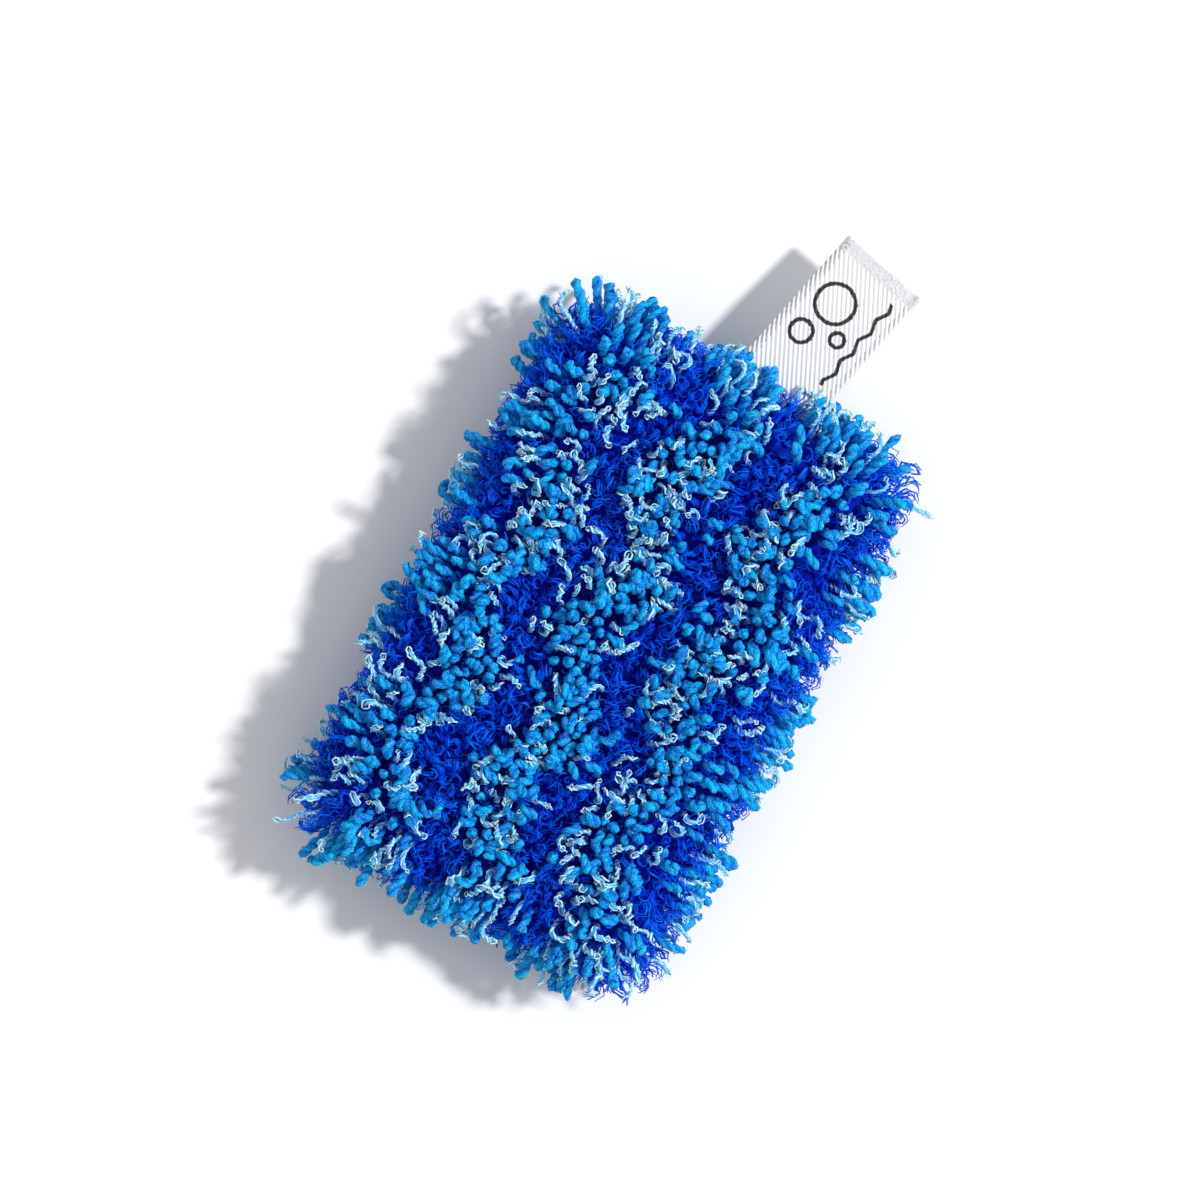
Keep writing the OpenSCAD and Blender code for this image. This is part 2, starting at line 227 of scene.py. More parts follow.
# %% lengths and thicknesses of the loops, in mm
BEADS = 7
count = len(roots)
on_side = np.abs(outward[:, 2]) < 0.8
corner = 2 * np.abs(outward[:, 0] * outward[:, 1]) * on_side
yarn_len, yarn_r = np.array([6.6, 9.6, 10.0]), np.array([1.1, 0.89, 0.76])
loop_len = yarn_len[yarn]
loop_len *= np.where(on_side, rng.uniform(0.68, 1.2, count), rng.uniform(0.68, 1.06, count))
loop_len *= 1 + 0.35 * corner
thick = yarn_r[yarn] * rng.uniform(0.82, 1.15, count)
stiff = np.array([0.1, 0.14, 0.1])[yarn]

# %% [markdown]
# Each loop leans by a chance amount, about 40 degrees as a rule and a few nearly flat. The way they lean
# changes slowly over the cloth, as if it had been brushed by hand, with some strays. The room is how far
# over the cloth the loop may reach when its neighbours push it.

# %% the beads at the start
lean = np.where(yarn == ROYAL, 10.0, np.where(on_side, 11.5, 9.2))
lean = np.radians(lean * rng.gamma(4.0, 1.0, count)).clip(0, 1.5)
brushed = 2.6 * np.sin(roots[:, 0] / 13.0 + 1.1 * np.sin(roots[:, 1] / 11.0))
brushed += 2.2 * np.sin(roots[:, 1] / 9.0 + roots[:, 2] / 6.0)
brushed += rng.normal(0, 0.8, count) * (1 + on_side)
across = np.stack([np.cos(brushed), np.sin(brushed), 0.8 * np.sin(1.7 * brushed + 1.0)], 1)
across += 0.35 * rng.normal(size=(count, 3))
across -= (across * outward).sum(1)[:, None] * outward
across /= np.linalg.norm(across, axis=1)[:, None]
curl = rng.uniform(-0.6, 1.3, count)
room = np.where(yarn == ROYAL, rng.uniform(3.6, 5.6, count), rng.uniform(4.6, 7.8, count) + 1.4 * on_side)
room += 3.4 * corner
root_sunk = 0.5
chain = np.zeros((count, BEADS, 3))
chain[:, 0] = roots - root_sunk * outward
step = loop_len / (BEADS - 1)
for k in range(1, BEADS):
    a = lean * (0.8 + curl * (k - 1) / (BEADS - 2))
    way = np.cos(a)[:, None] * outward + np.sin(a)[:, None] * across
    chain[:, k] = chain[:, k - 1] + way * step[:, None]


# %% [markdown]
# Beads can only push one another when they are near, so the space is cut into cells as wide as the
# furthest push, and each bead is compared with those in its own and the neighbouring cells.

# %% find the beads that are near each other
def close_pairs(p, reach):
    """Index pairs of points nearer than the reach, found through a grid of cells."""
    cell = np.floor((p - p.min(0)) / reach).astype(np.int64) + 1
    size = cell.max(0) + 2
    code = (cell[:, 0] * size[1] + cell[:, 1]) * size[2] + cell[:, 2]
    order = np.argsort(code, kind="stable")
    srt = code[order]
    found = []
    for i in (-1, 0, 1):
        for j in (-1, 0, 1):
            for k in (-1, 0, 1):
                shift = (i * size[1] + j) * size[2] + k
                if shift < 0:
                    continue
                first = np.searchsorted(srt, srt + shift, "left")
                last = np.searchsorted(srt, srt + shift, "right")
                many = last - first
                a = np.repeat(np.arange(len(srt)), many)
                b = np.repeat(first - np.cumsum(many) + many, many) + np.arange(many.sum())
                m = a < b if shift == 0 else a != b
                a, b = order[a[m]], order[b[m]]
                d = p[a] - p[b]
                m = (d * d).sum(1) < reach * reach
                found.append(np.stack([a[m], b[m]]))
    return np.concatenate(found, 1)


# %% [markdown]
# Each round pulls the beads down a little, pushes them apart, and puts them back outside the cloth, the
# label and the bench. Then each loop is walked from its root to its tip: its steps get their length back
# and are bent towards a smooth line, which is what the stiffness of the yarn does.

# %% push beads apart until the pile has settled
root_bead, neck_share, squeeze = 0.35, 0.75, 0.82
bead_r = np.repeat(thick[:, None], BEADS, 1)
bead_r[:, 0] = root_bead
bead_r[:, 1] *= neck_share
bead_r *= squeeze
owner = np.repeat(np.arange(count), BEADS)
radius = bead_r.ravel()
held = np.zeros((count, BEADS), bool)
held[:, 0] = True
held = held.ravel()
sag, push_share, most_push = 0.035, 0.32, 0.6
most_back, most_lift = 0.4, 0.5
label_clear, bench_share = 0.55, 1.1
rounds = 90
for round_no in range(rounds):
    p = chain.reshape(-1, 3)
    p[~held, 2] -= sag
    if round_no % 3 == 0:
        a, b = close_pairs(p, 2 * thick.max() + 0.3)
        m = owner[a] != owner[b]
        a, b = a[m], b[m]
    d = p[a] - p[b]
    dist = np.maximum(np.linalg.norm(d, axis=1), 1e-4)
    over = np.clip(radius[a] + radius[b] - dist, 0, most_push)
    push = d / dist[:, None] * (push_share * over)[:, None]
    move = np.zeros_like(p)
    for axis in range(3):
        move[:, axis] += np.bincount(a, push[:, axis], len(p))
        move[:, axis] -= np.bincount(b, push[:, axis], len(p))
    p[~held] += move[~held]
    dist, way = to_pouch(p)
    inside = np.clip(pouch_r + radius - dist, 0, None)
    beyond = np.clip(dist - pouch_r - room[owner], 0, most_back)
    p[~held] += (way * (inside - beyond)[:, None])[~held]
    run, off, rise = label_place(p)
    near = ~held & (run > -2) & (run < label_free + 1) & (np.abs(off) < label_w / 2 + radius)
    stuck = np.clip(label_clear + radius - np.abs(rise), 0, most_lift)
    p[near, 2] += (np.where(rise < 0, -1, 1) * stuck)[near]
    p[:, 2] = np.maximum(p[:, 2], np.where(held, p[:, 2], bench_share * radius))
    chain = p.reshape(-1, BEADS, 3)
    for k in range(1, BEADS):
        before = chain[:, k - 1] - (chain[:, k - 2] if k > 1 else chain[:, 0] - outward * step[:, None])
        ahead = chain[:, k] - chain[:, k - 1]
        ahead += stiff[:, None] * (before - ahead)
        chain[:, k] = chain[:, k - 1] + ahead / np.linalg.norm(ahead, axis=1)[:, None] * step[:, None]
chain[:, 1:, 2] = np.maximum(chain[:, 1:, 2], bench_share * bead_r[:, 1:])
print(f"settled pile: {chain[..., 2].min():.1f} to {chain[..., 2].max():.1f} mm high")

# %% [markdown]
# ## Sweeping yarn along a path
# All yarns are tubes along the settled paths, so the same helpers make them all. The first two smooth
# the beads into a curve, and carry a frame along it without twisting. The third winds a strand round it.

# %% smooth curves and their frames
def smooth_path(beads, rings):
    """Evenly many points on a smooth curve through the beads of each chain."""
    n = beads.shape[1]
    ext = np.concatenate([2 * beads[:, :1] - beads[:, 1:2], beads, 2 * beads[:, -1:] - beads[:, -2:-1]], 1)
    t = np.linspace(0, n - 1 - 1e-6, rings)
    i = t.astype(int)
    f = (t - i)[None, :, None]
    p0, p1, p2, p3 = (ext[:, i + k] for k in range(4))
    return 0.5 * (2 * p1 + (p2 - p0) * f + (2 * p0 - 5 * p1 + 4 * p2 - p3) * f**2
                  + (3 * p1 - p0 - 3 * p2 + p3) * f**3)


def frames(path):
    """Two unit vectors across each path at every point, carried along without twist."""
    ahead = np.gradient(path, axis=1)
    ahead /= np.maximum(np.linalg.norm(ahead, axis=2), 1e-9)[..., None]
    first = np.cross(ahead[:, 0], rng.normal(size=(len(path), 3)))
    first /= np.linalg.norm(first, axis=1)[:, None]
    one = np.zeros_like(path)
    one[:, 0] = first
    for k in range(1, path.shape[1]):
        v = one[:, k - 1] - (one[:, k - 1] * ahead[:, k]).sum(1)[:, None] * ahead[:, k]
        one[:, k] = v / np.maximum(np.linalg.norm(v, axis=1), 1e-9)[:, None]
    return one, np.cross(ahead, one)


def wound(path, one, two, reach, angle):
    """The path moved out by a reach, at an angle in its frame."""
    return path + (reach * np.cos(angle))[..., None] * one + (reach * np.sin(angle))[..., None] * two


# %% [markdown]
# The next ones set a ring of vertices round every point of a curve and stitch the rings into a closed
# skin. They work on all the loops of a piece at once, which is what makes thousands of them quick.

# %% skins of tubes
def skin(path, radii, sides):
    """Vertices, side faces and end caps of closed tubes, with one radius a ring or one a corner."""
    one, two = frames(path)
    n, rings = path.shape[:2]
    ang = np.linspace(0, TAU, sides, endpoint=False)[None, None, :, None]
    ring = one[:, :, None] * np.cos(ang) + two[:, :, None] * np.sin(ang)
    co = (path[:, :, None] + ring * radii.reshape(n, rings, -1, 1)).reshape(-1, 3)
    k, s = np.meshgrid(np.arange(rings - 1), np.arange(sides), indexing="ij")
    s2 = (s + 1) % sides
    corners = [k * sides + s, k * sides + s2, (k + 1) * sides + s2, (k + 1) * sides + s]
    quad = np.stack(corners, -1).reshape(-1, 4)
    quads = (quad[None] + (np.arange(n) * rings * sides)[:, None, None]).reshape(-1, 4)
    start = np.arange(n)[:, None] * rings * sides
    foot = start + np.arange(sides)[None, ::-1]
    head = start + (rings - 1) * sides + np.arange(sides)[None]
    return co, quads, np.concatenate([foot, head])


def parts_joined(parts):
    """Several sets of tubes as one, with the faces renumbered."""
    start, co, quads, caps = 0, [], [], []
    for c, q, e in parts:
        co.append(c)
        quads.append(q + start)
        caps.append(e + start)
        start += len(c)
    return np.concatenate(co), np.concatenate(quads), caps


# %% [markdown]
# Each vertex keeps a few numbers for the materials: its height in the pile, the tone of its loop, which
# ply it is, and its place on the yarn, round it and along it. The place turns with the plies, so fibres
# that are drawn from it follow the twist.

# %% numbers for the materials, and meshes from arrays
pile_h = 6.5


def pile_depth(co):
    """0 at the cloth and 1 at the top of the pile."""
    return ((to_pouch(co)[0] - pouch_r) / pile_h).clip(0, 1)


def yarn_place(n, rings, sides, lengths, twist):
    """Place on the yarn for every vertex: round it, turned with the plies, and along it in mm."""
    t = np.linspace(0, 1, rings)
    ang = np.linspace(0, TAU, sides, endpoint=False)[None, None] - twist[..., None]
    along = (lengths[:, None] * t + rng.uniform(0, 900, (n, 1)))[..., None]
    return np.stack([np.cos(ang), np.sin(ang), np.broadcast_to(along, ang.shape)], -1).reshape(-1, 3)


def mesh_piece(name, co, face_sets, numbers, material):
    """One smooth mesh object from arrays in mm, with its numbers as vertex attributes."""
    mesh = bpy.data.meshes.new(name)
    loops = np.concatenate([f.ravel() for f in face_sets]).astype(np.int32)
    sizes = np.concatenate([np.full(len(f), f.shape[1]) for f in face_sets])
    mesh.vertices.add(len(co))
    mesh.vertices.foreach_set("co", (co * MM).astype(np.float32).ravel())
    mesh.loops.add(len(loops))
    mesh.loops.foreach_set("vertex_index", loops)
    mesh.polygons.add(len(sizes))
    mesh.polygons.foreach_set("loop_start", (np.cumsum(sizes) - sizes).astype(np.int32))
    mesh.update(calc_edges=True)
    mesh.validate()
    mesh.polygons.foreach_set("use_smooth", np.ones(len(mesh.polygons), bool))
    for key, value in numbers.items():
        kind, field = ("FLOAT", "value") if value.ndim == 1 else ("FLOAT_VECTOR", "vector")
        mesh.attributes.new(key, kind, "POINT").data.foreach_set(field, value.astype(np.float32).ravel())
    mesh.materials.append(material)
    piece = bpy.data.objects.new(name, mesh)
    bpy.context.scene.collection.objects.link(piece)
    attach(piece, "root")
    print(f"{name}: {int((sizes - 2).sum())} triangles")
    return piece


# %% [markdown]
# ## Yarn finishes
# The finishes are built from nodes by a few small helpers: one starts a node group, one reads a number
# kept on the mesh, and the others add one node each and hand back its output.

# %% helpers for materials
def new_group(name, inputs, outputs):
    """A node group with named inputs and outputs, and its two end nodes."""
    group = bpy.data.node_groups.new(name, "ShaderNodeTree")
    for label, kind, value in inputs:
        s = group.interface.new_socket(label, in_out="INPUT", socket_type=kind)
        s.default_value = value
    for label, kind in outputs:
        group.interface.new_socket(label, in_out="OUTPUT", socket_type=kind)
    return group, group.nodes.new("NodeGroupInput"), group.nodes.new("NodeGroupOutput")


def attribute(tree, name, output="Fac"):
    node = tree.nodes.new("ShaderNodeAttribute")
    node.attribute_name = name
    return node.outputs[output]


def plug(tree, socket, value):
    """Sets a socket to a number or a colour, or links another socket to it."""
    if isinstance(value, bpy.types.NodeSocket):
        tree.links.new(value, socket)
    elif isinstance(value, tuple) and len(value) == 3 and socket.type == "RGBA":
        socket.default_value = (*value, 1)
    else:
        socket.default_value = value


def math_node(tree, kind, a, b=None, c=None, clamp=False):
    node = tree.nodes.new("ShaderNodeMath")
    node.operation = kind
    node.use_clamp = clamp
    for socket, value in zip(node.inputs, (a, b, c)):
        if value is not None:
            plug(tree, socket, value)
    return node.outputs[0]


def vector_node(tree, kind, a, b):
    node = tree.nodes.new("ShaderNodeVectorMath")
    node.operation = kind
    plug(tree, node.inputs[0], a)
    plug(tree, node.inputs[1], b)
    return node.outputs[0]


def mix_color(tree, factor, a, b):
    node = tree.nodes.new("ShaderNodeMix")
    node.data_type = "RGBA"
    for socket, value in ((node.inputs[0], factor), (node.inputs[6], a), (node.inputs[7], b)):
        plug(tree, socket, value)
    return node.outputs[2]


def noise(tree, place, scale, detail=2.0):
    node = tree.nodes.new("ShaderNodeTexNoise")
    plug(tree, node.inputs["Detail"], detail)
    plug(tree, node.inputs["Vector"], place)
    plug(tree, node.inputs["Scale"], scale)
    return node.outputs["Fac"]


# %% [markdown]
# All the yarns share one node group. Its fibres are a noise looked up on the yarn itself, so they wind
# with the plies, and Stretch sets how fine they are round the yarn and along it. Deep is the colour at
# the root, where little light gets in, Body the colour of the loop, and Tip the colour of the fibres
# that catch the light. Fuzz says how much the fibres show, Ply how much the white plies stand out,
# Groove how deep the ply grooves are, with shade painted in them, and Glint the painted highlight specks.
# Each blue loop also has its own tone, since no two took the dye alike.

# %% the node group for yarn
# colour of the painted highlight specks (Glint) on the lit fibres
glint_color = (0.4, 0.98, 1.0)
yarn_group, g_in, g_out = new_group(
    "yarn_fibres",
    [("Deep", "NodeSocketColor", (0, 0, 0.2, 1)), ("Body", "NodeSocketColor", (0, 0.2, 0.7, 1)),
     ("Tip", "NodeSocketColor", (0.2, 0.6, 0.9, 1)), ("Stretch", "NodeSocketVector", (3.0, 3.0, 0.7)),
     ("Fuzz", "NodeSocketFloat", 0.3), ("Ply", "NodeSocketFloat", 0.3), ("Groove", "NodeSocketFloat", 0.3),
     ("Glint", "NodeSocketFloat", 0.3)],
    [("Color", "NodeSocketColor"), ("Height", "NodeSocketFloat")],
)
tree = yarn_group
on_yarn = attribute(tree, "yarn_place", "Vector")
place = vector_node(tree, "MULTIPLY", on_yarn, g_in.outputs["Stretch"])
fibre = noise(tree, place, 1.0, 5.0)
turned = tree.nodes.new("ShaderNodeSeparateXYZ")
plug(tree, turned.inputs[0], on_yarn)
swell = math_node(tree, "ARCTAN2", turned.outputs["Y"], turned.outputs["X"])
swell = math_node(tree, "ABSOLUTE", math_node(tree, "COSINE", swell))
swell = math_node(tree, "POWER", swell, 0.6)
depth = attribute(tree, "depth")
tone = attribute(tree, "tone")
crest = attribute(tree, "crest")
lit = math_node(tree, "POWER", math_node(tree, "MULTIPLY", depth, 1.35, clamp=True), 1.4)
color = mix_color(tree, lit, g_in.outputs["Deep"], g_in.outputs["Body"])
light = math_node(tree, "MULTIPLY_ADD", fibre, 3.4, -1.2, clamp=True)
light = math_node(tree, "MULTIPLY", light, g_in.outputs["Fuzz"])
light = math_node(tree, "MULTIPLY_ADD", tone, 0.25, light)
light = math_node(tree, "MULTIPLY_ADD", crest, g_in.outputs["Ply"], light)
# painted shade: the colour is darkened in the grooves between the two plies, as much as Groove says
hollow = math_node(tree, "SUBTRACT", 1.0, swell)
shade = math_node(tree, "MULTIPLY", hollow, g_in.outputs["Groove"])
light = math_node(tree, "SUBTRACT", light, shade, clamp=True)
light = math_node(tree, "MULTIPLY", light, lit, clamp=True)
color = mix_color(tree, light, color, g_in.outputs["Tip"])
# painted highlight: bright cyan specks where a fine noise peaks, only on lit fibres, as strong as Glint
# says
painted_glint = noise(tree, place, 1.9, 3.0)
painted_glint = math_node(tree, "MULTIPLY_ADD", painted_glint, 13.0, -7.7, clamp=True)
painted_glint = math_node(tree, "MULTIPLY", painted_glint, lit)
painted_glint = math_node(tree, "MULTIPLY", painted_glint, g_in.outputs["Glint"])
color = mix_color(tree, painted_glint, color, glint_color)
plug(tree, g_out.inputs["Color"], color)
rise = math_node(tree, "MULTIPLY", swell, g_in.outputs["Groove"])
plug(tree, g_out.inputs["Height"], math_node(tree, "ADD", rise, fibre))


# %% [markdown]
# The sky-blue yarn is matt and fuzzy with deep grooves, the royal one is fine and even, and the white
# one shines: smooth white plies over a blue core.

# %% the three yarn finishes
def material_with_bump(name, roughness, relief):
    """A material, its tree and the bump node that feeds its normal."""
    material = bpy.data.materials.new(name)
    material.use_nodes = True
    tree = material.node_tree
    shader = tree.nodes["Principled BSDF"]
    shader.inputs["Roughness"].default_value = roughness
    bump = tree.nodes.new("ShaderNodeBump")
    bump.inputs["Strength"].default_value = 0.8
    bump.inputs["Distance"].default_value = relief
    tree.links.new(bump.outputs["Normal"], shader.inputs["Normal"])
    return material, tree, shader, bump


def use_group(tree, shader, bump, group, values):
    """Adds a node group, sets its inputs, and feeds the shader's colour and the bump's height."""
    node = tree.nodes.new("ShaderNodeGroup")
    node.node_tree = group
    for key, value in values.items():
        plug(tree, node.inputs[key], value)
    plug(tree, bump.inputs["Height"], node.outputs["Height"])
    plug(tree, shader.inputs["Base Color"], node.outputs["Color"])


def yarn_material(name, roughness, gloss, relief, **values):
    material, tree, shader, bump = material_with_bump(name, roughness, relief)
    use_group(tree, shader, bump, yarn_group, values)
    shader.inputs["Specular IOR Level"].default_value = gloss
    return material


# painted light on the sky-blue yarn: Groove paints shade into its ply grooves, Glint bright highlight
# specks
sky_yarn = yarn_material(
    "sky_yarn", 0.65, 0.05, 0.0008, Deep=(0.0, 0.04, 0.6), Body=(0.0, 0.14, 0.76), Tip=(0.0, 0.58, 1.0),
    Stretch=(3.0, 3.0, 2.2), Fuzz=1.0, Ply=0.0, Groove=0.8, Glint=0.65)
royal_yarn = yarn_material(
    "royal_yarn", 0.5, 0.05, 0.00005, Deep=(0.0, 0.005, 0.6), Body=(0.0, 0.024, 0.8), Tip=(0.0, 0.2, 1.0),
    Stretch=(1.0, 1.0, 1.1), Fuzz=0.9, Ply=0.0, Groove=0.0, Glint=0.0)
white_yarn = yarn_material(
    "white_yarn", 0.3, 0.8, 0.0001, Deep=(0.0, 0.08, 0.5), Body=(0.0, 0.44, 0.96), Tip=(0.68, 1.0, 1.0),
    Stretch=(2.0, 2.0, 1.6), Fuzz=0.4, Ply=0.9, Groove=0.3, Glint=0.0)

# %% [markdown]
# ## Sky-blue loops
# Up close each is a soft cord of two fat plies, closed at its tip. The plies show as a lumpy, slightly
# screwed finger, so the ring is a circle with two lobes that turns along the loop, with small random
# lumps. The thickness drops over the last rings for the round tip.

# %% build the sky-blue loops
tones = rng.uniform(0, 1, count)
front = outward[:, 2] > 0


def sky_loops(name, pick, rings, sides):
    n = len(pick)
    path = smooth_path(chain[pick], rings)
    t = np.linspace(0, 1, rings)
    body = 1.0 + 0.08 * rng.normal(size=(n, rings)).clip(-1.5, 1.5)
    shape = np.interp(t, [0, 0.12, 0.3, 0.86, 0.94, 0.98, 1], [0.55, 0.65, 0.9, 1.12, 1.02, 0.7, 0.18])
    ang = np.linspace(0, TAU, sides, endpoint=False)
    pitch = rng.uniform(2.2, 3.4, (n, 1))
    screw = TAU * (loop_len[pick][:, None] * t / pitch + rng.uniform(0, 1, (n, 1)))
    lobe = np.cos(2 * ang[None, None] - screw[..., None])
    lump = 0.07 * rng.normal(size=(n, rings, sides))
    radii = thick[pick][:, None, None] * body[..., None] * shape[None, :, None] * (1 + 0.22 * lobe + lump)
    co, quads, caps = skin(path, radii, sides)
    co[:, 2] = np.maximum(co[:, 2], 0.02)
    numbers = {
        "depth": pile_depth(co),
        "tone": np.repeat(1.8 * tones[pick] - 0.3, rings * sides),
        "crest": np.zeros(len(co)),
        "yarn_place": yarn_place(n, rings, sides, loop_len[pick], 0.5 * screw),
    }
    return mesh_piece(name, crowned(co), (quads, caps), numbers, sky_yarn)


piece = sky_loops("front_sky_yarn", np.where((yarn == SKY) & front)[0], 17, 7)
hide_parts("front_sky_loops")
piece = sky_loops("back_sky_yarn", np.where((yarn == SKY) & ~front)[0], 12, 5)
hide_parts("back_sky_loops")

# %% [markdown]
# ## White cords
# Each white loop is a shiny cord: two thin white plies wound round a blue core, that part and meet
# again in a small eye at the tip. All three are real strands, because the white plies over the darker
# core are what catches the light. The cord is limp, so its path sways as well, and it is wound tighter in
# some places than in others.

# %% build the white cords
def white_cords(name, pick, rings, sides):
    n = len(pick)
    path = smooth_path(chain[pick], rings)
    one, two = frames(path)
    t = np.linspace(0, 1, rings)
    size = thick[pick][:, None]
    sway = rng.uniform(0.2, 0.9, (n, 1)) * np.minimum(1, 2 * t)
    bend = TAU * (rng.uniform(0.8, 1.7, (n, 1)) * t + rng.uniform(0, 1, (n, 1)))
    path = wound(path, one, two, sway, bend)
    one, two = frames(path)
    loose = 1 + 0.3 * np.cumsum(rng.normal(size=(n, rings)), 1) / np.sqrt(rings)
    pitch = rng.uniform(1.9, 3.4, (n, 1))
    turns = loop_len[pick][:, None] * t / pitch * loose + rng.uniform(0, 1, (n, 1))
    wide = np.interp(t, [0, 0.1, 0.75, 0.92, 1], [0.5, 1, 1.05, 1.7, 0.25])
    fat = np.interp(t, [0, 0.05, 0.97, 1], [0.7, 1, 1, 0.8])
    core_fat = np.interp(t, [0, 0.8, 0.9, 1], [0.8, 1, 0.7, 0.2])
    core = path[:, : rings // 2 * 2 : 2]
    core_size = np.interp(np.linspace(0, 1, rings // 2), t, core_fat)[None] * size * 0.66
    parts = [skin(core, core_size, sides + 1)]
    shades = [np.zeros(len(parts[0][0]))]
    places = [yarn_place(n, rings // 2, sides + 1, loop_len[pick], np.zeros((n, rings // 2)))]
    for ply, shade in ((0, 1.0), (1, 0.75)):
        a = TAU * turns + math.pi * ply
        apart = 0.6 * size * wide[None] * (1 + 0.2 * rng.normal(size=(n, rings)).clip(-1.5, 1.5))
        strand = wound(path, one, two, apart, a)
        radii = rng.uniform(0.22, 0.33, (n, 1)) * size * fat
        parts.append(skin(strand, radii, sides))
        shades.append(np.full(n * rings * sides, shade))
        places.append(yarn_place(n, rings, sides, loop_len[pick], a))
    co, quads, caps = parts_joined(parts)
    co[:, 2] = np.maximum(co[:, 2], 0.02)
    shade = np.concatenate(shades)
    numbers = {
        "depth": pile_depth(co) + 0.1 * shade,
        "tone": shade * 0.5,
        "crest": shade,
        "yarn_place": np.concatenate(places),
    }
    return mesh_piece(name, crowned(co), (quads, *caps), numbers, white_yarn)


piece = white_cords("front_white_yarn", np.where((yarn == WHITE) & front)[0], 20, 3)
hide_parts("front_white_loops")
piece = white_cords("back_white_yarn", np.where((yarn == WHITE) & ~front)[0], 14, 3)
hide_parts("back_white_loops")

# %% [markdown]
# ## Royal-blue tufts
# The royal yarn is a bundle of fine crimped threads that curls over as it leaves the cloth and fills
# the ground between the other loops like moss. Each tuft is a handful of thin threads that run
# together round a loose helix along the settled path, each with its own offset and crimp.

# %% build the royal-blue tufts
def royal_tufts(name, pick, threads, rings, sides):
    n = len(pick)
    base = smooth_path(chain[pick], rings)
    one, two = frames(base)
    t = np.linspace(0, 1, rings)[None]
    swirl = TAU * (rng.uniform(0.8, 1.7, (n, 1)) * t + rng.uniform(0, 1, (n, 1)))
    wander = rng.uniform(0.5, 1.1, (n, 1)) * np.minimum(1, 1.8 * t)
    parts, places = [], []
    for k in range(threads):
        a = swirl + rng.uniform(0, TAU, (n, 1)) + 2.5 * t
        fan = rng.uniform(0.3, 1.1, (n, 1)) * (0.35 + 0.9 * t)
        crimp = rng.uniform(0.16, 0.34, (n, 1)) * np.minimum(1, 4 * t)
        phase = TAU * (t * rng.uniform(2.2, 3.6, (n, 1)) + rng.uniform(0, 1, (n, 1)))
        u = wander * np.cos(swirl) + fan * np.cos(a) + crimp * np.cos(phase)
        v = wander * np.sin(swirl) + fan * np.sin(a) + crimp * np.sin(phase)
        strand = base + u[..., None] * one + v[..., None] * two
        fat = np.interp(t[0], [0, 0.9, 1], [1, 0.9, 0.5])
        radii = rng.uniform(0.14, 0.2, (n, 1)) * fat
        parts.append(skin(strand, radii, sides))
        places.append(yarn_place(n, rings, sides, loop_len[pick], 0 * swirl))
    co, quads, caps = parts_joined(parts)
    co[:, 2] = np.maximum(co[:, 2], 0.0)
    each = rings * sides
    numbers = {
        "depth": pile_depth(co) * 1.2,
        "tone": np.repeat(rng.uniform(0, 1.6, threads * n), each),
        "crest": np.zeros(len(co)),
        "yarn_place": np.concatenate(places),
    }
    return mesh_piece(name, crowned(co), (quads, *caps), numbers, royal_yarn)


piece = royal_tufts("front_royal_yarn", np.where((yarn == ROYAL) & front)[0], 5, 10, 3)
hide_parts("front_royal_tufts")
piece = royal_tufts("back_royal_yarn", np.where((yarn == ROYAL) & ~front)[0], 3, 8, 3)
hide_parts("back_royal_tufts")

# %% [markdown]
# Single threads work loose from the tufts and lie curled between the loops, close to the cloth. They
# hide the ground, and in the light stripes they are a brighter blue. Each is one short tube that winds
# once or so round a rising helix.

# %% scatter the loose threads
def loose_threads(name, amount, rings, sides):
    foot, up_way = random_skin(amount)
    m = up_way[:, 2] > -0.25
    foot, up_way = foot[m], up_way[m]
    n = len(foot)
    t = np.linspace(0, 1, rings)[None]
    climb = rng.uniform(1.2, 4.2, (n, 1)) * t**0.7
    drift = rng.normal(0, 1.0, (n, 3))[:, None] * t[..., None]
    base = foot[:, None] + up_way[:, None] * climb[..., None] + drift
    one, two = frames(base)
    swirl = TAU * (rng.uniform(0.7, 1.7, (n, 1)) * t + rng.uniform(0, 1, (n, 1)))
    reach = rng.uniform(0.5, 1.2, (n, 1)) * np.minimum(1, 2.5 * t)
    strand = wound(base, one, two, reach, swirl)
    thread_r = rng.uniform(0.15, 0.21, (n, 1)) * np.interp(t, [0, 0.9, 1], [1, 0.9, 0.5])
    co, quads, caps = skin(strand, thread_r, sides)
    d, way = to_pouch(co)
    co += way * np.clip(pouch_r + 0.1 - d, 0, None)[:, None]
    light = np.clip(past_stripe(spread_flat(foot, up_way)) / 3, 0, 1)
    numbers = {
        "depth": pile_depth(co) + 0.4,
        "tone": np.repeat(rng.uniform(0, 1.2, n) + 2.4 * light, rings * sides),
        "crest": np.zeros(len(co)),
        "yarn_place": yarn_place(n, rings, sides, np.full(n, 9.0), 0 * swirl),
    }
    return mesh_piece(name, crowned(co), (quads, caps), numbers, royal_yarn)


piece = loose_threads("loose_threads", 5200, 9, 3)
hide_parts("front_royal_tufts")

# %% [markdown]
# ## The outline of the pad
# The cloth panels and the foam all have the outline of the pad, so they are made alike: a profile, which
# is a section through the piece, is carried round that outline and closed over the middle.

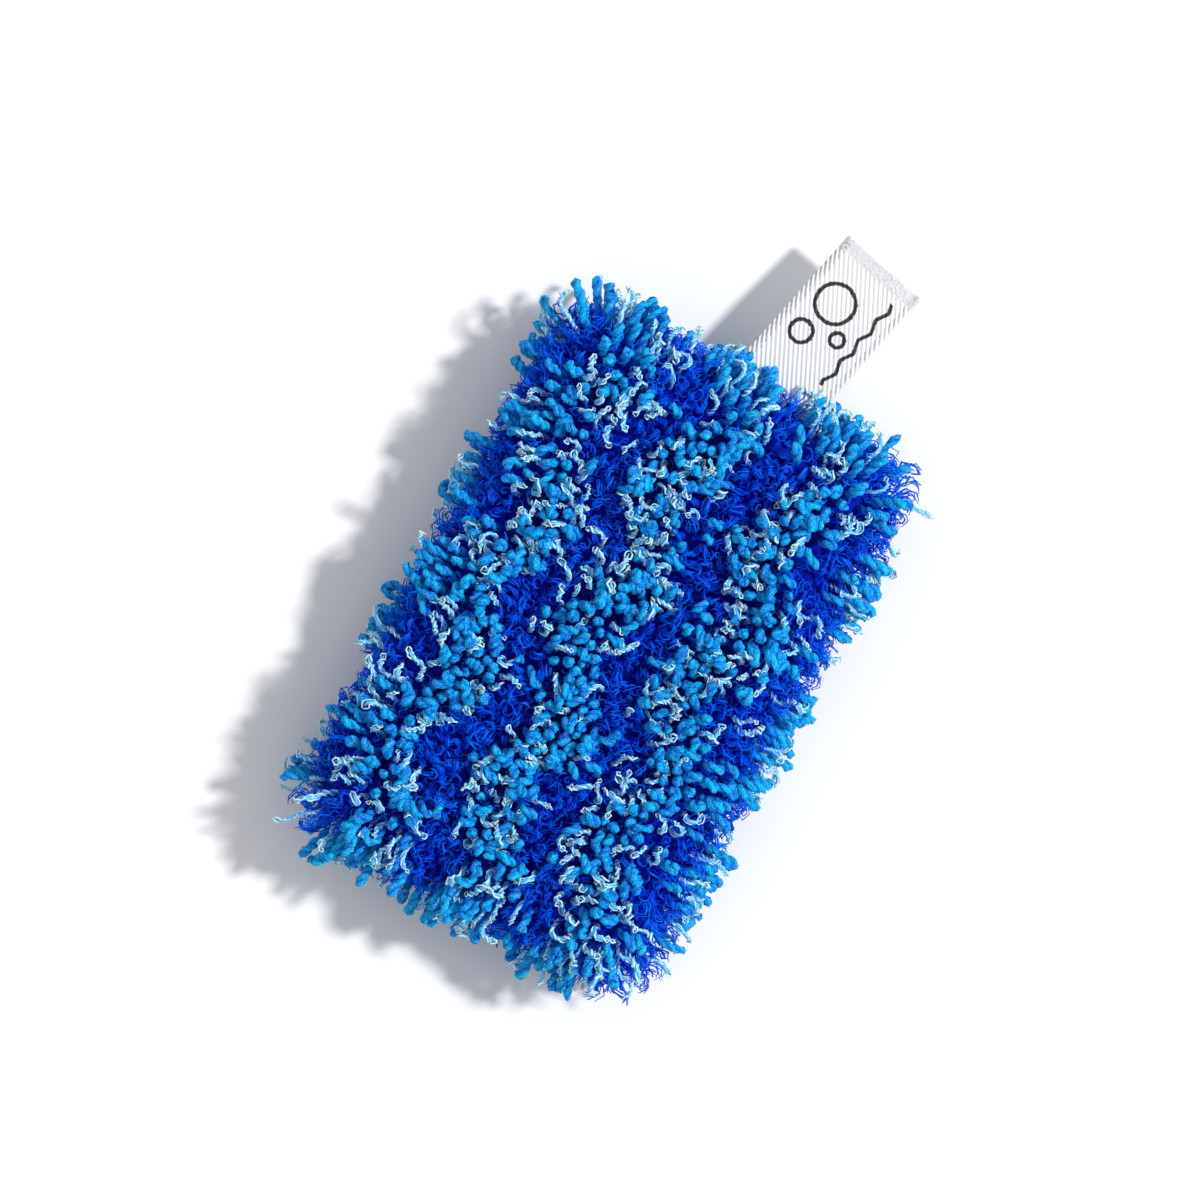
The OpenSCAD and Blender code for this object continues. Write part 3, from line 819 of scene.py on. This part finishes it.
# %% outline of the pad and the closed shells around it
def outline(columns):
    """Points on the spine's outline, outward directions, and the share of the way round."""
    per_side = columns // 4
    base, way = [], []
    corners = ((1, 1), (-1, 1), (-1, -1), (1, -1))
    for c, (sx, sy) in enumerate(corners):
        a = (c + np.linspace(0, 1, per_side // 2, endpoint=False)) * math.pi / 2
        base.append(np.tile([sx * spine[0], sy * spine[1]], (len(a), 1)))
        way.append(np.stack([np.cos(a), np.sin(a)], 1))
        nx, ny = corners[(c + 1) % 4]
        f = np.linspace(0, 1, per_side - len(a), endpoint=False)[:, None]
        start, end = np.array([sx, sy]) * spine, np.array([nx, ny]) * spine
        base.append(start + f * (end - start))
        turn = (c + 1) * math.pi / 2
        way.append(np.tile([math.cos(turn), math.sin(turn)], (len(f), 1)))
    base, way = np.concatenate(base), np.concatenate(way)
    edge = base + pouch_r * way
    at = np.concatenate([[0], np.cumsum(np.linalg.norm(np.diff(edge, axis=0), axis=1))])
    return base, way, at / (at[-1] + np.linalg.norm(edge[0] - edge[-1]))


def carried_round(profile, columns):
    """A closed shell from a profile of rows (share of spine, reach outside it, height)."""
    base, way, at = outline(columns)
    co = []
    for share, reach, height in profile:
        xy = base * share + way * reach
        co.append(np.column_stack([xy, np.full(len(xy), float(height))]))
    rows, cols = len(profile), len(base)
    co = np.concatenate(co)
    k, s = np.meshgrid(np.arange(rows - 1), np.arange(cols), indexing="ij")
    s2 = (s + 1) % cols
    corners = [k * cols + s, (k + 1) * cols + s, (k + 1) * cols + s2, k * cols + s2]
    quads = np.stack(corners, -1).reshape(-1, 4)
    first, last = len(co), len(co) + 1
    ring = np.arange(cols)
    tail = (rows - 1) * cols
    fans = np.concatenate([
        np.stack([np.full(cols, first), ring, (ring + 1) % cols], 1),
        np.stack([np.full(cols, last), tail + (ring + 1) % cols, tail + ring], 1)])
    ends = [[0, 0, profile[0][2]], [0, 0, profile[-1][2]]]
    return np.concatenate([co, ends]), quads, fans, np.concatenate([np.tile(at, rows), [0, 0]])


def dome(radius, first_tip, last_tip, rows, flat_rows):
    """Rows over the flat of the pad and down its round edge."""
    flat = [(s, 0.0, radius) for s in np.linspace(0.04, 0.98, flat_rows)]
    tips = np.radians(np.linspace(first_tip, last_tip, rows))
    return flat + [(1.0, radius * math.sin(a), radius * math.cos(a)) for a in tips]


# %% [markdown]
# Knitted stitches and foam cells look alike from a distance: small cells in a mottled colour. So the
# cloth and the foam share a node group. Deep is shade painted into the hollows, Dull and Bright are
# the mottle. In the foam the hollow is the middle of each cell, and in the cloth the gap round each stitch.

# %% the node group for small cells
cell_group, g_in, g_out = new_group(
    "small_cells",
    [("Cells", "NodeSocketFloat", 800.0), ("Mottle", "NodeSocketFloat", 60.0),
     ("Grain", "NodeSocketFloat", 2.0), ("Deep At Middle", "NodeSocketFloat", 0.0),
     ("Deep Outward", "NodeSocketFloat", 1.0), ("Deep", "NodeSocketColor", (0, 0, 0, 1)),
     ("Dull", "NodeSocketColor", (0.5, 0.5, 0.5, 1)), ("Bright", "NodeSocketColor", (1, 1, 1, 1))],
    [("Color", "NodeSocketColor"), ("Height", "NodeSocketFloat")],
)
tree = cell_group
spot = tree.nodes.new("ShaderNodeTexCoord").outputs["Object"]
cell = tree.nodes.new("ShaderNodeTexVoronoi")
plug(tree, cell.inputs["Scale"], g_in.outputs["Cells"])
plug(tree, cell.inputs["Vector"], spot)
from_middle = cell.outputs["Distance"]
mottle = noise(tree, spot, g_in.outputs["Mottle"], g_in.outputs["Grain"])
color = mix_color(tree, mottle, g_in.outputs["Dull"], g_in.outputs["Bright"])
# painted shade: Deep is mixed in by the distance from each cell's middle, so the hollows darken
deep = math_node(tree, "MULTIPLY_ADD", from_middle, g_in.outputs["Deep Outward"],
                 g_in.outputs["Deep At Middle"])
plug(tree, g_out.inputs["Color"], mix_color(tree, deep, color, g_in.outputs["Deep"]))
plug(tree, g_out.inputs["Height"], from_middle)

# %% [markdown]
# ## The cloth pouch
# Each panel is a thick knitted cloth that wraps half of the pad, turns in at the seam and lies flat as
# the seam allowance. Its section runs out over the crown, down the round edge, in along the seam, and
# back along the inside. The cloth is drawn in a little at each stitch, and dimpled all over by the
# loops that leave it.

# %% the cloth panels
cloth_t, allowance_in, seam_gap = 1.2, 3.0, 0.03
stitches, pucker, dimple_d = 36, 0.35, 0.12
inner_r = pouch_r - cloth_t
knit, tree, shader, bump = material_with_bump("royal_ground", 0.9, 0.0004)
shader.inputs["Specular IOR Level"].default_value = 0.1
# Deep paints shade into the gaps round the stitches
use_group(tree, shader, bump, cell_group, {
    "Cells": 900.0, "Mottle": 700.0, "Grain": 4.0, "Deep At Middle": 0.0, "Deep Outward": 1.0,
    "Deep": (0.0, 0.002, 0.12), "Dull": (0.0, 0.004, 0.4), "Bright": (0.0, 0.035, 0.9)})


def cloth_panel(name, sign):
    in_tip = math.degrees(math.acos(cloth_t / inner_r))
    in_reach = inner_r * math.sin(math.radians(in_tip))
    inward = [(1.0, r, seam_gap) for r in np.linspace(pouch_r - 0.3, allowance_in, 5)]
    back = [(1.0, r, cloth_t) for r in np.linspace(allowance_in, in_reach, 4)[:-1]]
    inside = dome(inner_r, 0, in_tip, 9, 7)[::-1]
    profile = dome(pouch_r, 0, 88, 13, 9) + inward + back + inside
    co, quads, fans, at = carried_round(profile, 128)
    d, way = to_pouch(co + [0, 0, seam_z])
    low = np.clip(1 - co[:, 2] / 4.0, 0, 1) ** 2 * (d > inner_r + 0.5)
    drawn = pucker * low * (0.5 + 0.5 * np.cos(TAU * stitches * at))
    dimple = dimple_d * np.sin(2.3 * co[:, 0] + 0.8 * np.sin(co[:, 1]))
    dimple *= np.sin(2.5 * co[:, 1] + np.sin(co[:, 0]))
    co -= way * (drawn + np.where(d > pouch_r - 0.2, dimple * (1 - low), 0))[:, None]
    co[:, 2] = seam_z + sign * np.maximum(co[:, 2], seam_gap)
    if sign < 0:
        quads, fans = quads[:, ::-1], fans[:, ::-1]
    piece = mesh_piece(name, crowned(co), (quads, fans), {}, knit)
    return piece


piece = cloth_panel("front_panel", 1)
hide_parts("front_cloth")
piece = cloth_panel("back_panel", -1)
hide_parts("back_cloth")

# %% [markdown]
# ## The foam pad
# The pad is open-cell foam that the cloth squeezes a little round its edge. It is the same kind of
# shell, one radius smaller, with a soft groove all round its middle where the turned-in allowances and
# the stitches press into it. Its cells are small and open, in a cream that has yellowed unevenly.

# %% build the foam pad
foam, tree, shader, bump = material_with_bump("pad_foam", 0.9, 0.0006)
# Deep paints shade into the open middle of each foam cell
use_group(tree, shader, bump, cell_group, {
    "Cells": 800.0, "Mottle": 60.0, "Grain": 2.0, "Deep At Middle": 1.0, "Deep Outward": -1.0,
    "Deep": (0.5, 0.42, 0.2), "Dull": (0.86, 0.78, 0.5), "Bright": (0.93, 0.88, 0.66)})
groove_h, groove_edge, foam_gap = 1.95, 0.8, 0.05
foam_r = inner_r - foam_gap
rise_tip = math.degrees(math.acos((groove_h + groove_edge) / foam_r))
upper = dome(foam_r, 0, rise_tip, 9, 7)
groove = [(1.0, r, h) for r, h in ((8.0, 2.2), (7.0, groove_h), (4.4, groove_h), (3.2, 1.5), (2.85, 0.7))]
half = upper + groove
profile = half + [(s, r, -h) for s, r, h in half[::-1]]
co, quads, fans, _ = carried_round(profile, 96)
co[:, 2] += seam_z
pad = mesh_piece("foam_pad", crowned(co), (quads, fans), {}, foam)
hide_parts("foam_core")

# %% [markdown]
# ## The seam thread
# The stitches are CAD solids that already have their true form and place, so they only need the look
# of a spun thread: fine light and dark flecks in a deep blue.

# %% finish of the sewing thread
thread, tree, shader, bump = material_with_bump("sewing_thread", 0.6, 0.0001)
spot = tree.nodes.new("ShaderNodeTexCoord").outputs["Object"]
strands = noise(tree, spot, 2500.0, 3.0)
plug(tree, shader.inputs["Base Color"], mix_color(tree, strands, (0.0, 0.01, 0.12), (0.01, 0.06, 0.4)))
plug(tree, bump.inputs["Height"], strands)
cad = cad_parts["seam_thread"]
cad.data.materials.clear()
cad.data.materials.append(thread)

# %% [markdown]
# ## The woven label
# The label is one ribbon folded in two, its ends caught in the seam. It is modelled as one thick strip
# that runs out on top, turns round the fold and comes back beneath, with the two plies a little apart
# and a soft wave in each, so that it reads as cloth and not as card.

# %% faces of a thick strip
def strip_faces(rows, cols):
    """Both faces and the four edges of a strip whose second face repeats the grid of the first."""
    other = rows * cols
    k, c = np.meshgrid(np.arange(rows - 1), np.arange(cols - 1), indexing="ij")
    corners = [k * cols + c, (k + 1) * cols + c, (k + 1) * cols + c + 1, k * cols + c + 1]
    top = np.stack(corners, -1).reshape(-1, 4)
    k = np.arange(rows - 1)
    c = np.arange(cols - 1)
    left = np.stack([k * cols, k * cols + other, (k + 1) * cols + other, (k + 1) * cols], 1)
    right = np.stack([k * cols, (k + 1) * cols, (k + 1) * cols + other, k * cols + other], 1) + cols - 1
    near = np.stack([c, c + 1, c + 1 + other, c + other], 1)
    far = np.stack([c, c + other, c + 1 + other, c + 1], 1) + (rows - 1) * cols
    return np.concatenate([top, top[:, ::-1] + other, left, right, near, far])


# %% [markdown]
# Along the strip, side is 1 on the upper ply and -1 on the lower one, and passes through 0 at the fold.
# Each ply waves a little and sinks with the middle line of the label.

# %% build the label
ribbon_t, ply_gap = 0.34, 0.16


def label_mesh():
    runs = np.concatenate([np.linspace(-label_in, 0, 6)[:-1], np.linspace(0, label_free - 0.3, 34)])
    turn = np.radians(np.linspace(75, -75, 7))
    lift = (ribbon_t + ply_gap) / 2
    run = np.concatenate([runs, label_free - 0.3 + lift * np.cos(turn), runs[::-1]])
    side = np.concatenate([np.full(len(runs), 1.0), np.sin(turn), np.full(len(runs), -1.0)])
    cols = 17
    off = np.linspace(-1, 1, cols)
    r, o = np.meshgrid(run, off, indexing="ij")
    s = np.broadcast_to(side[:, None], r.shape)
    free = np.clip(r / label_free, 0, 1)
    wave = 0.10 * np.sin(0.33 * r + 1.1 * o) * free + 0.5 * free**2 * (o**2 - 0.4) * 0.5
    drift = 0.12 * np.clip(s, -1, 1) * np.sin(math.pi * free) * (1 - 0.5 * o**2)
    drop = sink_r - np.sqrt(sink_r**2 - np.clip(r, 0, label_free) ** 2)
    slope = np.clip(r, 0, label_free) / sink_r
    faces_co = []
    for face in (1, -1):
        h = lift * s + face * ribbon_t / 2 * np.where(np.abs(s) < 0.98, s / np.maximum(np.abs(s), 0.3), s)
        bend = np.where(np.abs(s) < 0.98, face * ribbon_t / 2 * np.sqrt(np.clip(1 - s**2, 0, 1)), 0)
        along = r + bend + slope * h
        height = seam_z - drop + h + wave + drift
        xy = np.array([edge_x, label_y]) + along[..., None] * label_ahead
        xy = xy + (o * label_w / 2)[..., None] * label_across
        faces_co.append(np.concatenate([xy, height[..., None]], -1).reshape(-1, 3))
    co = np.concatenate(faces_co)
    length = np.concatenate([[0], np.cumsum(np.hypot(np.diff(run), lift * np.diff(side)))])
    strip = np.stack([np.broadcast_to(length[:, None], r.shape), o * label_w / 2, s], -1).reshape(-1, 3)
    return co, strip_faces(len(run), cols), np.tile(strip, (2, 1)), length[-1]


co, quads, strip, ribbon_len = label_mesh()
print(f"ribbon {label_w:.0f} x {ribbon_len:.1f} mm")

# %% [markdown]
# The ribbon is woven in a twill, with ribs that slant across it, and plain where it folds. A row of
# dark dashes runs inside each edge, where the ribs end. The ribs and the fine cross threads are worked
# out from the place on the ribbon, in mm.

# %% ribs, dashes and plain end of the ribbon
rib_gap, plain_end, weft_gap, warp_gap = 0.93, 3.2, 0.27, 0.2
rib_off, rib_along, dash_at, dash_half = -0.788, 0.616, 1.1, 0.6
ribbon, tree, shader, bump = material_with_bump("label_ribbon", 0.55, 0.00012)
on_ribbon = attribute(tree, "ribbon_place", "Vector")
split = tree.nodes.new("ShaderNodeSeparateXYZ")
plug(tree, split.inputs[0], on_ribbon)
along, off, face = split.outputs
slant = math_node(tree, "MULTIPLY_ADD", off, rib_off, math_node(tree, "MULTIPLY", along, rib_along))
rib = math_node(tree, "SINE", math_node(tree, "MULTIPLY", slant, TAU / rib_gap))
from_fold = math_node(tree, "ABSOLUTE", math_node(tree, "SUBTRACT", along, ribbon_len / 2))
plain = math_node(tree, "LESS_THAN", from_fold, plain_end)
fleck = noise(tree, vector_node(tree, "MULTIPLY", on_ribbon, (5.0, 1.3, 0.0)), 1.0, 1.0)
fleck = math_node(tree, "MULTIPLY_ADD", fleck, 7.0, -3.8)
pattern = tree.nodes.new("ShaderNodeMix")
for socket, value in zip((pattern.inputs[0], pattern.inputs[2], pattern.inputs[3]), (plain, rib, fleck)):
    plug(tree, socket, value)
weft = math_node(tree, "SINE", math_node(tree, "MULTIPLY", along, TAU / weft_gap))
relief = math_node(tree, "MULTIPLY_ADD", weft, 0.25, pattern.outputs[0])
grain = noise(tree, on_ribbon, 2.5, 3.0)
inset = math_node(tree, "SUBTRACT", label_w / 2, math_node(tree, "ABSOLUTE", off))
dashes = math_node(tree, "COMPARE", inset, dash_at, dash_half)
# painted shade: grey where the relief of ribs, cross threads and flecks is low; the edge dashes deepen it
groove_shade_and_dashes = math_node(tree, "MULTIPLY_ADD", relief, -0.9, -0.15, clamp=True)
grain_dark = math_node(tree, "MULTIPLY_ADD", grain, 2.0, -0.4, clamp=True)
groove_shade_and_dashes = math_node(tree, "MULTIPLY", groove_shade_and_dashes, grain_dark)
edge_dark = math_node(tree, "MULTIPLY_ADD", dashes, 1.5, 0.28)
groove_shade_and_dashes = math_node(tree, "MULTIPLY", groove_shade_and_dashes, edge_dark, clamp=True)
white = mix_color(tree, groove_shade_and_dashes, (0.9, 0.9, 0.91), (0.25, 0.25, 0.3))

# %% [markdown]
# The upper ply carries a small woven motif in black, three bubbles over a wave. Its outline is rounded
# to whole threads, which gives it the stepped edge of a woven figure. Each bubble is given by the
# distance of its middle from the seam, its place across the ribbon and its radius, in mm.

# %% the woven motif
bubbles = ((25.0, 2.6, 4.2), (16.2, 4.2, 2.4), (19.6, -2.6, 1.5))
line_half, wave_len, wave_h = 0.42, 5.5, 0.45
wave_at, wave_mid, wave_half = 6.4, 21.5, 11.0
snap_along = math_node(tree, "SNAP", along, weft_gap)
snap_off = math_node(tree, "SNAP", off, warp_gap)
ink = None
for centre, place_off, ring in bubbles:
    dx = math_node(tree, "SUBTRACT", snap_along, label_in + centre)
    dy = math_node(tree, "SUBTRACT", snap_off, place_off)
    dist = math_node(tree, "MULTIPLY_ADD", dx, dx, math_node(tree, "MULTIPLY", dy, dy))
    off_ring = math_node(tree, "SUBTRACT", math_node(tree, "SQRT", dist), ring)
    band = math_node(tree, "LESS_THAN", math_node(tree, "ABSOLUTE", off_ring), line_half)
    ink = band if ink is None else math_node(tree, "MAXIMUM", ink, band)
crest_at = math_node(tree, "SINE", math_node(tree, "MULTIPLY", snap_along, TAU / wave_len))
wave_off = math_node(tree, "MULTIPLY_ADD", crest_at, -wave_h, math_node(tree, "ADD", snap_off, wave_at))
wave = math_node(tree, "COMPARE", wave_off, 0.0, line_half)
wave_end = math_node(tree, "COMPARE", snap_along, label_in + wave_mid, wave_half)
ink = math_node(tree, "MAXIMUM", ink, math_node(tree, "MULTIPLY", wave, wave_end))
ink = math_node(tree, "MULTIPLY", ink, math_node(tree, "GREATER_THAN", face, 0.9))
black = mix_color(tree, grain, (0.002, 0.002, 0.003), (0.02, 0.02, 0.024))
plug(tree, shader.inputs["Base Color"], mix_color(tree, ink, white, black))
plug(tree, bump.inputs["Height"], relief)
label = mesh_piece("folded_label", co, (quads,), {"ribbon_place": strip}, ribbon)
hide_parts("woven_label")

# %% [markdown]
# ## Table, light and camera
# The photograph looks straight down, with the label pointing up to the right and a hard light from
# the right. The camera keeps that angle. The lamp shines from the same side, but is wide enough for soft
# shadows, and a pale world fills them.

# %% floor, lights and world
floor_mesh = bpy.data.meshes.new("table_top")
floor_half, floor_drop = 3.0, 0.0002
floor_at = [(x * floor_half, y * floor_half, 0) for x, y in ((-1, -1), (1, -1), (1, 1), (-1, 1))]
floor_mesh.from_pydata(floor_at, [], [(0, 1, 2, 3)])
table_top = bpy.data.objects.new("table_top", floor_mesh)
bpy.context.scene.collection.objects.link(table_top)
table_top.location.z = -floor_drop
paint = bpy.data.materials.new("table_paint")
paint.use_nodes = True
paint.node_tree.nodes["Principled BSDF"].inputs["Base Color"].default_value = (0.94, 0.94, 0.94, 1)
paint.node_tree.nodes["Principled BSDF"].inputs["Roughness"].default_value = 0.9
floor_mesh.materials.append(paint)

world = bpy.data.worlds.new("studio")
bpy.context.scene.world = world
world.use_nodes = True
background = world.node_tree.nodes["Background"]
background.inputs["Color"].default_value = (0.97, 0.98, 1.0, 1)
ray = world.node_tree.nodes.new("ShaderNodeLightPath")
seen = math_node(world.node_tree, "MULTIPLY_ADD", ray.outputs["Is Camera Ray"], 0.45, 0.55)
plug(world.node_tree, background.inputs["Strength"], seen)

view_turn = math.radians(-61.0)
right = np.array([math.cos(view_turn), math.sin(view_turn), 0])
up = np.array([-math.sin(view_turn), math.cos(view_turn), 0])
key = bpy.data.lights.new("key", "SUN")
key.energy = 2.75
key.angle = math.radians(6)
key_lamp = bpy.data.objects.new("key", key)
bpy.context.scene.collection.objects.link(key_lamp)
toward = 0.987 * right + 0.16 * up + np.array([0, 0, 1.05])
key_lamp.rotation_mode = "QUATERNION"
key_lamp.rotation_quaternion = Vector(toward).to_track_quat("Z", "Y")

# %% [markdown]
# The camera hangs straight above the middle of the view, turned so that the label points up to the
# right. Its lens is worked out from the width that it has to see at the height of the pile.

# %% the camera, straight above as in the photograph
camera = bpy.data.objects.new("camera", bpy.data.cameras.new("camera"))
bpy.context.scene.collection.objects.link(camera)
bpy.context.scene.camera = camera
height, seen_width, pile_top = 1.2, 0.243, 0.028
camera.data.sensor_width = 36
camera.data.lens = 36 * (height - pile_top) / seen_width
camera.location = (0.00768, 0.00495, height)
camera.rotation_euler = (0, 0, view_turn)
bpy.context.scene.view_settings.view_transform = "Standard"
